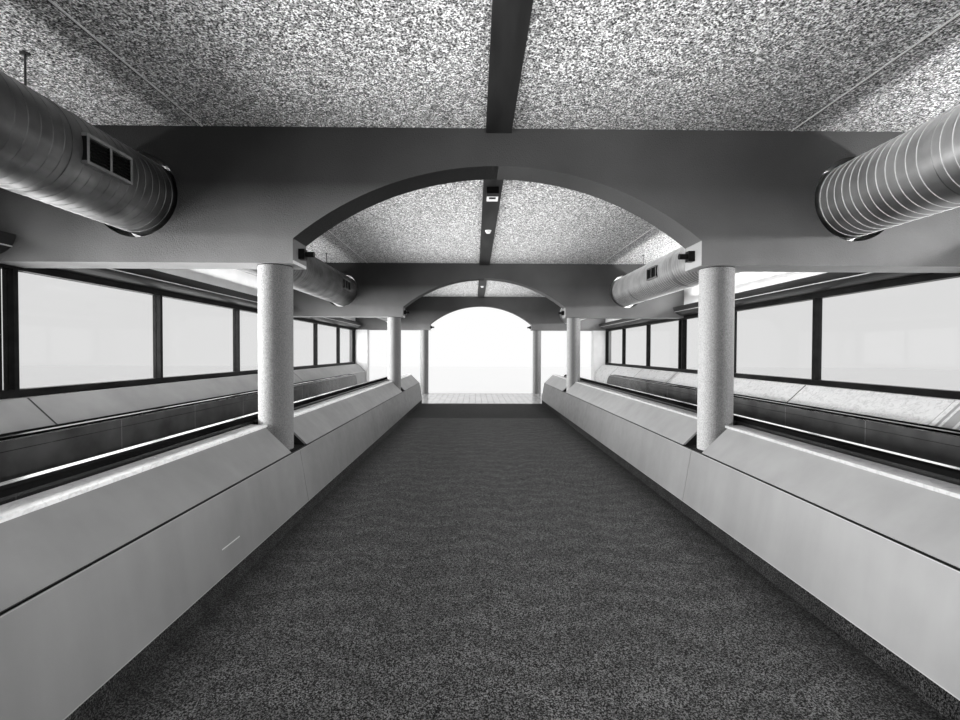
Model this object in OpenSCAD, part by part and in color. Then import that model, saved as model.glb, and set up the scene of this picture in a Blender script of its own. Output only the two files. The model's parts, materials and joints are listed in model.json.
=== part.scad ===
// Enclosed passenger link between two airport piers.
// A carpeted walk runs down the middle, with a moving walkway and a window wall on either side.
// X is across the hall, Y runs along it, Z is up. The origin is on the ground under its middle.

/* [Hall] */
// Distance between the centre lines of two arch beams
bay_l = 6700; // [6300:50:7200]
// Ground to finished floor
floor_z = 450; // [430:10:600]
// Finished floor to ceiling
ceiling_h = 3700; // [3650:10:3900]
// Hall's centre line to the inner face of the window wall
wall_x = 4760; // [4700:10:4900]
// Thickness of the window wall
wall_t = 220; // [180:10:300]
// Thickness of the roof slab
roof_t = 240; // [180:10:300]
// Thickness of carpet and floor tiles
finish_t = 12; // [8:1:20]
// Thickness of the plaster ceiling
plaster_t = 30; // [20:5:50]

/* [Arch beams] */
// Thickness of a beam along the hall
beam_t = 350; // [300:10:400]
// Floor to the flat underside of the beams
soffit_h = 2430; // [2400:10:2450]
// How far the arch's jambs stand in from the columns' faces
jamb_in = 75; // [40:5:90]
// Beam's underside to the springing of the arch
jamb_h = 230; // [150:10:260]
// Depth of a beam above the crown of the arch
crown_d = 350; // [300:10:450]

/* [Columns] */
// Fold of the parapet to the face of a column
col_set = 70; // [60:5:75]
// Diameter of a column
col_d = 320; // [300:2:328]

/* [Air ducts] */
// Hall's centre line to a duct's axis
duct_x = 3400; // [3350:10:3450]
// Outside diameter of a duct
duct_d = 700; // [650:10:720]
// Wall of a duct with its seams and lining
duct_wall = 12; // [6:1:20]
// Air gap between a duct and its hole in a beam
hole_gap = 50; // [40:5:60]
// Length of a joint band
band_l = 60; // [40:5:100]
// How far a joint band stands proud
band_t = 6; // [4:1:10]
// Length of an air register
register_l = 450; // [300:10:600]
// Height of an air register
register_h = 220; // [150:10:260]
// Diameter of a hanger rod
rod_d = 14; // [8:1:20]

/* [Parapets] */
// Half the width of the carpet between the parapets
carpet_half = 1850; // [1800:10:1860]
// Height of the carpeted skirt
skirt_h = 125; // [80:5:160]
// Floor to the fold between the upright and the sloped panels
fold_h = 645; // [600:5:700]
// Floor to the top of the cap
cap_h = 905; // [890:5:940]
// Width of the cap
cap_w = 160; // [150:5:180]
// Thickness of the cap
cap_t = 22; // [16:2:40]
// Thickness of a parapet panel
panel_t = 18; // [12:1:25]
// How far the upright panels lean back
lean = 85; // [60:5:95]
// How far the sloped panels run back
slope_w = 245; // [240:5:260]
// Gap between neighbouring panels
joint_w = 6; // [4:1:12]
// Length of the notch round a column
notch_l = 400; // [380:10:500]
// Parapet's end past the middle beam of its half
landing_l = 3200; // [2800:50:3200]

/* [Moving walkways] */
// Parapet's back to the near side of the walkway
lane_gap = 12; // [10:2:40]
// Width of a balustrade
board_w = 160; // [154:2:200]
// Height of a balustrade's base
base_h = 110; // [100:5:160]
// Clear width between the two balustrades of a walkway
lane_w = 1160; // [1100:10:1200]
// Floor to the top of a handrail
rail_h = 965; // [940:5:1000]
// Width of a handrail
rail_w = 84; // [70:2:90]
// Thickness of a handrail
rail_t = 34; // [26:2:36]
// Balustrade's outer side to the handrail
rail_side = 8; // [6:1:10]
// Width of the metal trim beside a handrail
trim_w = 60; // [40:2:60]
// Height of a handrail above the trim
rail_up = 6; // [2:1:12]
// Gap round a handrail where it runs through the base
channel_gap = 3; // [2:1:6]
// Thickness of the pallets
pallet_t = 30; // [20:2:40]
// Height of the pallet loop
pallet_loop = 250; // [200:10:280]
// Depth of the walkway's pit
pit_d = 340; // [320:10:360]
// Metal of the walkway's trough
trough_t = 20; // [12:2:30]
// Parapet's end back to the end of the newel
newel_back = 700; // [500:50:800]
// Length of a landing plate from the newel back
plate_l = 700; // [600:50:1000]

/* [Window walls] */
// Floor to the bottom of the window frames
sill_h = 1130; // [1110:10:1160]
// Floor to the top of the window frames
head_h = 2480; // [2450:10:2500]
// Height of a window frame's rails
bar_w = 80; // [50:5:100]
// Width of a window's uprights
upright_w = 50; // [40:5:80]
// Clear gap between the pair of uprights at a beam
pair_gap = 120; // [80:10:200]
// Depth of the window frames
frame_d = 110; // [90:5:160]
// Thickness of a pane
pane_t = 12; // [8:1:24]
// Width of the sill casing at the floor
sill_w = 390; // [360:10:420]
// Floor to the casing's front edge
sill_front_h = 860; // [840:10:900]
// Width of the casing's flat top
sill_flat = 100; // [80:5:130]
// Thickness of the sill casing
casing_t = 20; // [12:1:30]
// How far the end piers stand out past the casing
pier_out = 60; // [40:5:100]

/* [Light coves] */
// How far a cove stands out from the wall
cove_w = 260; // [240:10:280]
// Height of the cove's lip above its foot
cove_rise = 200; // [180:10:220]
// Thickness of the cove
cove_t = 25; // [15:1:40]

/* [Roof edge] */
// Width of the kerb round the roof
kerb_w = 240; // [150:10:300]
// Height of the kerb above the roof
kerb_h = 120; // [80:10:200]

/* [Ceiling trim] */
// Width of the dark strip along the ceiling
strip_w = 240; // [200:10:300]
// Depth of the dark strip
strip_t = 45; // [30:5:60]
// Hall's centre line to a ceiling joint
joint_x = 2780; // [2700:10:2850]

/* [Hidden] */
$fn = 48;

bays = 4;
half_bays = bays / 2;
panes = 3;
half_l = half_bays * bay_l + beam_t / 2;
slab_top = floor_z - finish_t;
ceiling_z = floor_z + ceiling_h;
roof_z = ceiling_z + plaster_t;
soffit_z = floor_z + soffit_h;
outer_x = wall_x + wall_t;
spring_h = soffit_h + jamb_h;
arch_rise = ceiling_h - crown_d - spring_h;
duct_h = (soffit_h + ceiling_h) / 2;

walk_end = bay_l + landing_l;
fold_x = carpet_half + lean;
col_x = fold_x + col_set + col_d / 2;
arch_half = fold_x + col_set - jamb_in;
cap_x = fold_x + slope_w;
back_x = cap_x + cap_w;
casing_x = wall_x - sill_w;
walk_x0 = back_x + lane_gap;
walk_w = lane_w + 2 * board_w;
walk_x1 = walk_x0 + walk_w;
newel_y = walk_end - newel_back;
rail_bottom = 30;
loop_h = rail_h - rail_bottom;
loop_y = newel_y - loop_h / 2;
pallet_y = newel_y - plate_l;
pallet_gap = 6;
pallet_down = 8;
pallet_z = floor_z - pallet_down;
plate_t = 12;
skirt_in = 12;
clear = 0.3;
cut = 1;
arch_r = (arch_half * arch_half + arch_rise * arch_rise) / (2 * arch_rise);
rod_back = 1230;
left_register_back = 945;
right_register_back = 2690;
bands = 3;

// Y of beam number i, counted from the near end
function beam_y(i) = (i - half_bays) * bay_l;

// Y of column pair i, where the outermost pairs stay inside the end faces
end_in = max(0, (col_d - beam_t) / 2);
function col_y(i) = beam_y(i) + (i == 0 ? end_in : 0) - (i == bays ? end_in : 0);

// Draws its children as they are for the right side, or mirrored for the left
module on_side(side) {
    if (side == "right") children();
    else mirror([1, 0, 0]) children();
}

// Draws its children on both sides
module both_sides() {
    on_side("right") children();
    on_side("left") children();
}

// Draws its children at both ends, given as they are at the far end
module both_ends() {
    children();
    mirror([0, 1, 0]) children();
}

// A profile drawn in X and Z, extruded along Y from y0 to y1
module run_y(y0, y1) {
    translate([0, y1, 0]) rotate([90, 0, 0]) linear_extrude(height = y1 - y0) children();
}

// A block between two corners
module block(lo, hi) {
    translate(lo) cube(hi - lo);
}

module floor_slab() {
    color("#8a8a86")
    difference() {
        block([-outer_x, -half_l, 0], [outer_x, half_l, slab_top]);
        both_sides()
            block([walk_x0, -walk_end, slab_top - pit_d], [walk_x1, walk_end, slab_top + cut]);
    }
}

// Carpet of the walk, turned up along both parapets as their skirt
module carpet() {
    edge = carpet_half + skirt_in + finish_t;
    color("#2c2c2e")
    run_y(-walk_end, walk_end)
        difference() {
            translate([-edge, slab_top]) square([2 * edge, finish_t + skirt_h]);
            translate([-edge + finish_t, floor_z]) square([2 * (edge - finish_t), skirt_h + cut]);
        }
}

module floor_tiles() {
    color("#c9c9c4")
    difference() {
        block([-casing_x, -half_l, slab_top], [casing_x, half_l, floor_z]);
        block([-walk_x1, -walk_end, slab_top - cut], [walk_x1, walk_end, floor_z + cut]);
        both_sides()
            for (i = [0, bays])
                column_slot(i, slab_top - cut, floor_z + cut);
        both_sides() both_ends()
            pier(slab_top - cut, floor_z + cut);
    }
}

// Room for a column, a cylinder with a little play
module column_slot(i, z0, z1) {
    translate([col_x, col_y(i), z0]) cylinder(d = col_d + 2 * clear, h = z1 - z0);
}

// Room for a column in a parapet, open at the parapet's back
module parapet_slot(i, z0, z1) {
    column_slot(i, z0, z1);
    block([col_x, beam_y(i) - col_d / 2 - clear, z0], [back_x + cut, beam_y(i) + col_d / 2 + clear, z1]);
}

// Notch round a column above the fold
module fold_notch(i) {
    block([fold_x - cut, beam_y(i) - notch_l / 2, floor_z + fold_h],
          [col_x, beam_y(i) + notch_l / 2, floor_z + cap_h - cap_t]);
}

// Horizontal thickness of a sloped panel
slope_rise = cap_h - cap_t - fold_h;
slope_t = panel_t * sqrt(slope_w * slope_w + slope_rise * slope_rise) / slope_rise;

module parapet_core(side) {
    color("#77777a")
    on_side(side)
    difference() {
        run_y(-walk_end, walk_end)
            translate([0, floor_z])
            polygon([
                [carpet_half + skirt_in + finish_t, -finish_t],
                [carpet_half + skirt_in + finish_t, skirt_h],
                [carpet_half + panel_t, skirt_h],
                [fold_x + panel_t, fold_h],
                [fold_x + slope_t, fold_h],
                [cap_x + slope_t, cap_h - cap_t],
                [back_x, cap_h - cap_t],
                [back_x, -finish_t]
            ]);
        for (i = [1 : bays - 1]) {
            parapet_slot(i, 0, ceiling_z);
            fold_notch(i);
        }
    }
}

// The upright panels stop one joint below the fold
panel_top = fold_h - joint_w;
panel_top_x = fold_x - lean * joint_w / (fold_h - skirt_h);

// Upright panels, one length from column to column
module parapet_panels(side) {
    color("#9a9a9c")
    on_side(side)
    for (k = [0 : bays - 1]) {
        y0 = k == 0 ? -walk_end : beam_y(k) + joint_w / 2;
        y1 = k == bays - 1 ? walk_end : beam_y(k + 1) - joint_w / 2;
        run_y(y0, y1)
            translate([0, floor_z])
            polygon([
                [carpet_half, skirt_h],
                [panel_top_x, panel_top],
                [panel_top_x + panel_t, panel_top],
                [carpet_half + panel_t, skirt_h]
            ]);
    }
}

// Sloped panels, which stop short of the columns
module parapet_slopes(side) {
    color("#a8a8aa")
    on_side(side)
    for (k = [0 : bays - 1]) {
        y0 = k == 0 ? -walk_end : beam_y(k) + notch_l / 2;
        y1 = k == bays - 1 ? walk_end : beam_y(k + 1) - notch_l / 2;
        run_y(y0, y1)
            translate([0, floor_z])
            polygon([
                [fold_x, fold_h],
                [cap_x, cap_h - cap_t],
                [cap_x + slope_t, cap_h - cap_t],
                [fold_x + slope_t, fold_h]
            ]);
    }
}

module parapet_caps() {
    color("#dcdcd8")
    both_sides()
    difference() {
        block([cap_x, -walk_end, floor_z + cap_h - cap_t], [back_x, walk_end, floor_z + cap_h]);
        for (i = [1 : bays - 1])
            parapet_slot(i, 0, ceiling_z);
    }
}

module columns() {
    color("#b4b4b0")
    both_sides()
    for (i = [0 : bays])
        translate([col_x, col_y(i), slab_top]) cylinder(d = col_d, h = soffit_z - slab_top);
}

// Beam number i, with its flat arch and a hole for each duct
module arch_beam(i) {
    color("#6f6f72")
    translate([0, beam_y(i), 0])
    difference() {
        block([-wall_x, -beam_t / 2, soffit_z], [wall_x, beam_t / 2, roof_z]);
        block([-arch_half, -beam_t, soffit_z - cut], [arch_half, beam_t, floor_z + spring_h]);
        intersection() {
            translate([0, 0, floor_z + spring_h + arch_rise - arch_r])
                along_y(r = arch_r, l = 2 * beam_t, $fn = 180);
            block([-arch_half, -beam_t, floor_z + spring_h], [arch_half, beam_t, roof_z]);
        }
        both_sides()
            translate([duct_x, 0, floor_z + duct_h])
                along_y(r = duct_d / 2 + hole_gap, l = 2 * beam_t);
    }
}

// A cylinder that lies along Y, centred
module along_y(r, l) {
    rotate([90, 0, 0]) cylinder(r = r, h = l, center = true);
}

bead_w = 14;
bead_t = 6;

// Y range of the ceiling between beams k and k + 1
function between(k) = [beam_y(k) + beam_t / 2, beam_y(k + 1) - beam_t / 2];

// Four fields of plaster in each bay, with a bead along the joints beside the ducts
module ceiling_plaster() {
    color("#e4e4e0")
    both_sides()
    for (k = [0 : bays - 1]) {
        inner_x = joint_x - joint_w / 2;
        block([strip_w / 2, between(k)[0], ceiling_z], [inner_x, between(k)[1], roof_z]);
        block([inner_x - bead_w, between(k)[0], ceiling_z - bead_t], [inner_x, between(k)[1], ceiling_z]);
        block([joint_x + joint_w / 2, between(k)[0], ceiling_z], [wall_x, between(k)[1], roof_z]);
    }
}

module ceiling_strip() {
    color("#3a3a3c")
    for (k = [0 : bays - 1])
        block([-strip_w / 2, beam_y(k) + beam_t / 2, ceiling_z - strip_t],
              [strip_w / 2, beam_y(k + 1) - beam_t / 2, roof_z]);
}

detector_d = 110;
detector_h = 45;

// A round detector under the strip in the middle of each bay
module detectors() {
    color("#d8d8d4")
    for (k = [0 : bays - 1])
        translate([0, beam_y(k) + bay_l / 2, ceiling_z - strip_t - detector_h])
            cylinder(d1 = detector_d - detector_h, d2 = detector_d, h = detector_h);
}

strip_lamp = [150, 300, 80];
strip_lamp_y = 1250;

// A box lamp under the strip behind each beam
module strip_lamps() {
    color("#1e1e20")
    for (k = [0 : bays - 1])
        translate([-strip_lamp[0] / 2, beam_y(k) + strip_lamp_y, ceiling_z - strip_t - strip_lamp[2]])
            cube(strip_lamp);
}

// Flat roof with a kerb all round
module roof_slab() {
    top = roof_z + roof_t;
    color("#85857f")
    difference() {
        block([-outer_x, -half_l, roof_z], [outer_x, half_l, top + kerb_h]);
        block([-outer_x + kerb_w, -half_l + kerb_w, top], [outer_x - kerb_w, half_l - kerb_w, top + 2 * kerb_h]);
    }
}

// Y of joint band j before beam i
function band_y(i, j) = beam_y(i) - rod_back - j * bay_l / bands;

module duct(side) {
    color("#9c9ca0")
    on_side(side)
    translate([duct_x, 0, floor_z + duct_h])
    difference() {
        union() {
            along_y(r = duct_d / 2, l = 2 * half_l);
            for (i = [1 : bays])
                for (j = [0 : bands - 1])
                    translate([0, band_y(i, j), 0]) along_y(r = duct_d / 2 + band_t, l = band_l);
        }
        along_y(r = duct_d / 2 - duct_wall, l = 2 * half_l + 2 * cut);
    }
}

register_out = 30;
register_deep = 21;
register_frame = 22;
blade_n = 6;
blade_t = 5;

// Air registers on the duct's side that faces the hall, each with two fields of blades
module duct_registers() {
    registers("left", left_register_back);
    registers("right", right_register_back);
}

module registers(side, back) {
    field_l = (register_l - 3 * register_frame) / 2;
    field_h = register_h - 2 * register_frame;
    chord = sqrt(duct_d * duct_d / 4 - register_h * register_h / 4);
    face_x = duct_x - duct_d / 2 - register_out;
    color("#b8b8ba")
    on_side(side)
    for (i = [1 : bays])
        translate([0, beam_y(i) - back - register_l / 2, floor_z + duct_h]) {
            difference() {
                block([face_x, 0, -register_h / 2], [duct_x - chord, register_l, register_h / 2]);
                translate([duct_x, 0, 0]) along_y(r = duct_d / 2 + clear, l = 4 * register_l);
                for (f = [0, 1])
                    translate([0, register_frame + f * (field_l + register_frame), 0])
                        block([face_x - cut, 0, -field_h / 2],
                              [face_x + register_deep, field_l, field_h / 2]);
            }
            for (f = [0, 1], b = [1 : blade_n])
                translate([0, register_frame + f * (field_l + register_frame),
                           -field_h / 2 + b * field_h / (blade_n + 1)])
                    block([face_x + blade_t, 0, -blade_t / 2],
                          [face_x + register_deep, field_l, blade_t / 2]);
        }
}

rose_d = 60;
rose_h = 8;

// Rods that hold the ducts at a joint band, each with a rose on the ceiling
module duct_hangers() {
    top = duct_h + duct_d / 2 + band_t;
    color("#8e8e90")
    both_sides()
        for (i = [1 : bays])
            translate([duct_x, band_y(i, 0), floor_z]) {
                translate([0, 0, top]) cylinder(d = rod_d, h = ceiling_h - top);
                translate([0, 0, ceiling_h - rose_h]) cylinder(d = rose_d, h = rose_h);
            }
}

runner_w = 40;

// Steel trough that holds the pallets and carries the balustrades
module walkway_trough(side) {
    z0 = slab_top - pit_d;
    color("#55585c")
    on_side(side) {
        difference() {
            block([walk_x0, -walk_end, z0], [walk_x1, walk_end, floor_z]);
            block([walk_x0 + trough_t, -walk_end + trough_t, z0 + trough_t],
                  [walk_x1 - trough_t, walk_end - trough_t, floor_z - trough_t]);
            block([walk_x0 + board_w, -walk_end + trough_t, z0 + trough_t],
                  [walk_x1 - board_w, walk_end - trough_t, floor_z + cut]);
            block([walk_x0 + board_w, -walk_end - cut, floor_z - plate_t / 2],
                  [walk_x1 - board_w, walk_end + cut, floor_z + cut]);
        }
        for (x = [walk_x0 + trough_t, walk_x1 - board_w - runner_w])
            block([x, -pallet_y, pallet_z - pallet_t - runner_w],
                  [x + board_w + runner_w - trough_t, pallet_y, pallet_z - pallet_t]);
    }
}

// A plate with round ends that stands along Y, centred on X
module stadium(half_len, r, w) {
    block([-w / 2, -half_len, -r], [w / 2, half_len, r]);
    for (y = [-half_len, half_len])
        translate([0, y, 0]) rotate([0, 90, 0]) cylinder(r = r, h = w, center = true, $fn = 96);
}

// The endless band of pallets
module pallets(side) {
    r = pallet_loop / 2;
    color("#4a4c50")
    on_side(side)
    translate([walk_x0 + walk_w / 2, 0, pallet_z - r])
    difference() {
        stadium(pallet_y, r, lane_w - 2 * pallet_gap);
        stadium(pallet_y, r - pallet_t, lane_w + 2 * cut);
    }
}

rail_r = loop_h / 2;
rail_z = floor_z + rail_h - rail_r;
board_r = rail_r - rail_t - clear;
rail_mid = rail_side + rail_w / 2;
board_in = rail_side + 6;
walk_mid = walk_x0 + walk_w / 2;

// Both balustrades of a walkway, drawn from the outer side of one towards the lane
module balustrade_pair(side) {
    on_side(side)
        translate([walk_mid, 0, 0])
        for (m = [0, 1])
            mirror([m, 0, 0]) translate([-walk_w / 2, 0, 0]) children();
}

// Boxed balustrades, round at both ends, with a channel in the base for the handrail
module balustrades(side) {
    color("#2a2c30")
    balustrade_pair(side) {
        difference() {
            block([0, -newel_y, floor_z], [board_w, newel_y, floor_z + base_h]);
            translate([rail_mid, 0, rail_z])
                difference() {
                    stadium(loop_y, rail_r + channel_gap, rail_w + 2 * channel_gap);
                    stadium(loop_y, board_r, rail_w + 4 * channel_gap);
                }
        }
        translate([(board_in + board_w) / 2, 0, rail_z]) stadium(loop_y, board_r, board_w - board_in);
    }
}

rail_round = 12;
round_n = 4;

// Section of a handrail, as distance from the loop's centre and place across
function rail_section() = concat(
    [[rail_r - rail_t, -rail_w / 2], [rail_r - rail_t, rail_w / 2]],
    [for (s = [0 : round_n])
        [rail_r - rail_round + rail_round * sin(90 * s / round_n),
         rail_w / 2 - rail_round + rail_round * cos(90 * s / round_n)]],
    [for (s = [round_n : -1 : 0])
        [rail_r - rail_round + rail_round * sin(90 * s / round_n),
         -rail_w / 2 + rail_round - rail_round * cos(90 * s / round_n)]]
);

// Each handrail is one endless loop round its balustrade
module handrails(side) {
    color("#141416")
    balustrade_pair(side)
        translate([rail_mid, 0, rail_z]) {
            for (up = [1, -1])
                run_y(-loop_y, loop_y) polygon([for (p = rail_section()) [p[1], up * p[0]]]);
            both_ends()
                translate([0, loop_y, 0]) rotate([0, -90, 0])
                rotate_extrude(angle = 180, $fn = 96) polygon(rail_section());
        }
}

// Metal trim on the lane's side of each handrail, bent round both newels down to the base
module rail_trims() {
    color("#c8c8ca")
    for (side = ["left", "right"])
        balustrade_pair(side)
            difference() {
                translate([board_w - trim_w / 2, 0, rail_z])
                    difference() {
                        stadium(loop_y, rail_r - rail_up, trim_w);
                        stadium(loop_y, board_r + clear, trim_w + 2 * cut);
                    }
                block([0, -walk_end, 0], [2 * board_w, walk_end, floor_z + base_h]);
            }
}

comb_back = 100;

module landing_plates() {
    color("#8c8e92")
    both_sides() both_ends()
        block([walk_x0 + board_w, pallet_y - comb_back, floor_z - plate_t / 2],
              [walk_x1 - board_w, walk_end, floor_z + plate_t / 2]);
}

frame_end = half_l - beam_t;
pair_y = (pair_gap + upright_w) / 2;

// Centre lines of the uprights: two or more in each bay, and a pair at each inner beam
upright_y = concat(
    [-frame_end + upright_w / 2],
    [for (k = [0 : bays - 1]) each concat(
        k > 0 ? [beam_y(k) - pair_y, beam_y(k) + pair_y] : [],
        [for (p = [1 : panes - 1]) beam_y(k) + p * bay_l / panes]
    )],
    [frame_end - upright_w / 2]
);

// Opening of pane p, counted from the near end, between x0 and x1
module pane_box(p, x0, x1) {
    block([x0, upright_y[p] + upright_w / 2, floor_z + sill_h + bar_w],
          [x1, upright_y[p + 1] - upright_w / 2, floor_z + head_h - bar_w]);
}

// Wall with one strip of windows from end to end, and a rebate for their frames
module window_wall(side) {
    color("#a3a39d")
    on_side(side)
    difference() {
        block([wall_x, -half_l, slab_top], [outer_x, half_l, roof_z]);
        block([wall_x - cut, -frame_end, floor_z + sill_h], [wall_x + frame_d, frame_end, floor_z + head_h]);
        block([wall_x, -frame_end + upright_w / 2, floor_z + sill_h + bar_w / 2],
              [outer_x + cut, frame_end - upright_w / 2, floor_z + head_h - bar_w / 2]);
    }
}

module window_frames(side) {
    color("#1b1b1d")
    on_side(side)
    difference() {
        block([wall_x, -frame_end, floor_z + sill_h], [wall_x + frame_d, frame_end, floor_z + head_h]);
        for (p = [0 : len(upright_y) - 2])
            pane_box(p, wall_x - cut, wall_x + frame_d + cut);
    }
}

module window_glass() {
    x0 = wall_x + frame_d / 2;
    color("#9fb0b8", 0.4)
    both_sides()
    for (p = [0 : len(upright_y) - 2])
        pane_box(p, x0, x0 + pane_t);
}

casing_run = sill_w - sill_flat;
casing_up = sill_h - sill_front_h;
casing_drop = casing_t * sqrt(casing_run * casing_run + casing_up * casing_up) / casing_run;

// One length of the bent casing below the windows
module casing(y0, y1) {
    run_y(y0 + joint_w / 2, y1 - joint_w / 2)
        translate([0, floor_z])
        polygon([
            [casing_x, -finish_t],
            [casing_x, sill_front_h],
            [wall_x - sill_flat, sill_h],
            [wall_x, sill_h],
            [wall_x, sill_h - casing_drop],
            [wall_x - sill_flat, sill_h - casing_drop],
            [casing_x + casing_t, sill_front_h + casing_t * casing_up / casing_run - casing_drop],
            [casing_x + casing_t, -finish_t]
        ]);
}

// Joints of the casing: behind each inner beam on the left, at every upright on the right
function casing_joints(side) = concat(
    [-frame_end],
    [for (k = [0 : bays - 1]) each concat(
        k > 0 && side == "right" ? [beam_y(k) - pair_y] : [],
        k > 0 ? [beam_y(k) + pair_y] : [],
        side == "right" ? [for (p = [1 : panes - 1]) beam_y(k) + p * bay_l / panes] : []
    )],
    [frame_end]
);

module sill_casing(side) {
    joints = casing_joints(side);
    color("#8f8f92")
    on_side(side)
    for (j = [1 : len(joints) - 1])
        casing(joints[j - 1], joints[j]);
}

cove_n = 10;
lip_z = floor_z + head_h + cove_rise;

// Points of a quarter ellipse below the lip, from the lip to the wall
function cove_arc(a, b) = [
    for (s = [0 : cove_n])
        [wall_x - a * cos(90 * s / cove_n), lip_z - b * sin(90 * s / cove_n)]
];

// Curved trough along the wall of each bay, open at the top for the lamps
module light_coves() {
    color("#3c3c3f")
    both_sides()
    for (k = [0 : bays - 1])
        run_y(between(k)[0], between(k)[1])
            polygon(concat(
                cove_arc(cove_w, cove_rise),
                [for (s = [cove_n : -1 : 0]) cove_arc(cove_w - cove_t, cove_rise - cove_t)[s]]
            ));
}

// Pier at the far right corner, between two heights
module pier(z0, z1) {
    block([casing_x - pier_out, half_l - beam_t, z0], [wall_x, half_l, z1]);
}

module end_piers() {
    color("#b0b0ab")
    both_sides() both_ends()
        pier(slab_top, soffit_z);
}

lamp = [60, 80, 100];
lens_l = 80;
lens_d = 55;

// A small spot lamp on each jamb of the arches
module jamb_lamps() {
    z = floor_z + (soffit_h + spring_h) / 2;
    color("#161618")
    both_sides()
        for (i = [0 : bays])
            translate([arch_half, beam_y(i), z]) {
                block([-lamp[0], -lamp[1] / 2, -lamp[2] / 2], [0, lamp[1] / 2, lamp[2] / 2]);
                translate([-lamp[0] - lens_l, 0, 0]) rotate([0, 90, 0]) cylinder(d = lens_d, h = lens_l);
            }
}

floor_slab();
carpet();
floor_tiles();
parapet_core("left");  // parapet_core_left
parapet_core("right");  // parapet_core_right
parapet_panels("left");  // parapet_panels_left
parapet_panels("right");  // parapet_panels_right
parapet_slopes("left");  // parapet_slopes_left
parapet_slopes("right");  // parapet_slopes_right
parapet_caps();
columns();
arch_beam(0);  // arch_beam_1
arch_beam(1);  // arch_beam_2
arch_beam(2);  // arch_beam_3
arch_beam(3);  // arch_beam_4
arch_beam(4);  // arch_beam_5
ceiling_plaster();
ceiling_strip();
strip_lamps();
detectors();
roof_slab();
duct("left");  // duct_left
duct("right");  // duct_right
duct_registers();
duct_hangers();
walkway_trough("left");  // walkway_trough_left
walkway_trough("right");  // walkway_trough_right
pallets("left");  // pallets_left
pallets("right");  // pallets_right
balustrades("left");  // balustrades_left
balustrades("right");  // balustrades_right
handrails("left");  // handrails_left
handrails("right");  // handrails_right
rail_trims();
landing_plates();
window_wall("left");  // window_wall_left
window_wall("right");  // window_wall_right
window_frames("left");  // window_frames_left
window_frames("right");  // window_frames_right
window_glass();
sill_casing("left");  // sill_casing_left
sill_casing("right");  // sill_casing_right
light_coves();
end_piers();
jamb_lamps();
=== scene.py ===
# %% [markdown]
# # A passenger link between two airport piers
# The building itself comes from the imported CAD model, already in metres. This file gives its surfaces
# their finishes, adds the small parts that carry no load, and sets up a camera, a floor and the light.

# %% Load the building
import json
import math

import bmesh
import bpy
from mathutils import Matrix, Vector


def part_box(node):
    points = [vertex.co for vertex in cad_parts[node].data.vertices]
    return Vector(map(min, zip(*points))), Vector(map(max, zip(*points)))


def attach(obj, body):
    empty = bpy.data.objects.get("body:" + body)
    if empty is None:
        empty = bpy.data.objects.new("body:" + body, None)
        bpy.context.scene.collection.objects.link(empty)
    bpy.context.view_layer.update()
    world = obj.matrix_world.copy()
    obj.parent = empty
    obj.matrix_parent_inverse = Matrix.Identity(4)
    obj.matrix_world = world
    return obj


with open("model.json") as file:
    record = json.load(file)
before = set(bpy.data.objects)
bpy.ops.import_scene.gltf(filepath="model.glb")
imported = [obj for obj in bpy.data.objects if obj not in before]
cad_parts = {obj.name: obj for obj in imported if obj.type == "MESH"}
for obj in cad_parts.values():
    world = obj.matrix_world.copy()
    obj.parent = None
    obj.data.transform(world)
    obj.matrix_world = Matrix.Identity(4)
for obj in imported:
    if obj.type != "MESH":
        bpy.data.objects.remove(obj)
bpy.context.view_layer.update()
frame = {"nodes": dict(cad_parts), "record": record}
print("nodes:", len(frame["nodes"]))

# %% [markdown]
# Most lengths that the new parts share are read off the CAD nodes. The beams give the bay, the tiles
# give the floor's height, and the pallets give the middle of a moving lane. The room's height and half
# the width of an arch are repeated from the CAD source, since no node's box shows them.

# %% Lengths taken from the CAD nodes
room_h = 3.7
arch_half = 1.93
beam_boxes = [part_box(f"arch_beam_{i}") for i in range(1, 6)]
beam_y = [(low.y + high.y) / 2 for low, high in beam_boxes]
beam_t = beam_boxes[0][1].y - beam_boxes[0][0].y
bay = beam_y[1] - beam_y[0]
soffit_z = beam_boxes[0][0].z
floor_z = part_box("floor_tiles")[1].z
ceiling_z = floor_z + room_h
wall_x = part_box("window_frames_right")[0].x
lane_low, lane_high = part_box("pallets_right")
lane_middle = (lane_low.x + lane_high.x) / 2
print("bay", round(bay, 3), "floor", round(floor_z, 3))
print("soffit", round(soffit_z, 3), "wall", round(wall_x, 3))

# %% [markdown]
# ## Camera
# The photo was taken at eye height with a very wide lens, a little left of the middle of the carpet and
# most of a bay before a beam. Its frame is 960 by 720, and the vanishing point gives the small turn and
# tilt. The three axes are built by hand, because that keeps the tiny roll exact.

# %% Camera at the photo's viewpoint
eye_x, eye_y, eye_height = -0.2145, -4.605, 1.6
turn, tilt, roll = 0.0105, 0.0171, 0.0035
focal_px, photo_w, sensor_w = 468, 960, 36.0

eye = Vector((eye_x, eye_y, floor_z + eye_height))
right = Vector((math.cos(turn), -math.sin(turn), 0.0))
level = Vector((math.sin(turn), math.cos(turn), 0.0))
ahead = level * math.cos(tilt) - Vector((0, 0, math.sin(tilt)))
upward = Vector((0, 0, math.cos(tilt))) + level * math.sin(tilt)
side_axis = right * math.cos(roll) + upward * math.sin(roll)
top_axis = upward * math.cos(roll) - right * math.sin(roll)

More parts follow.
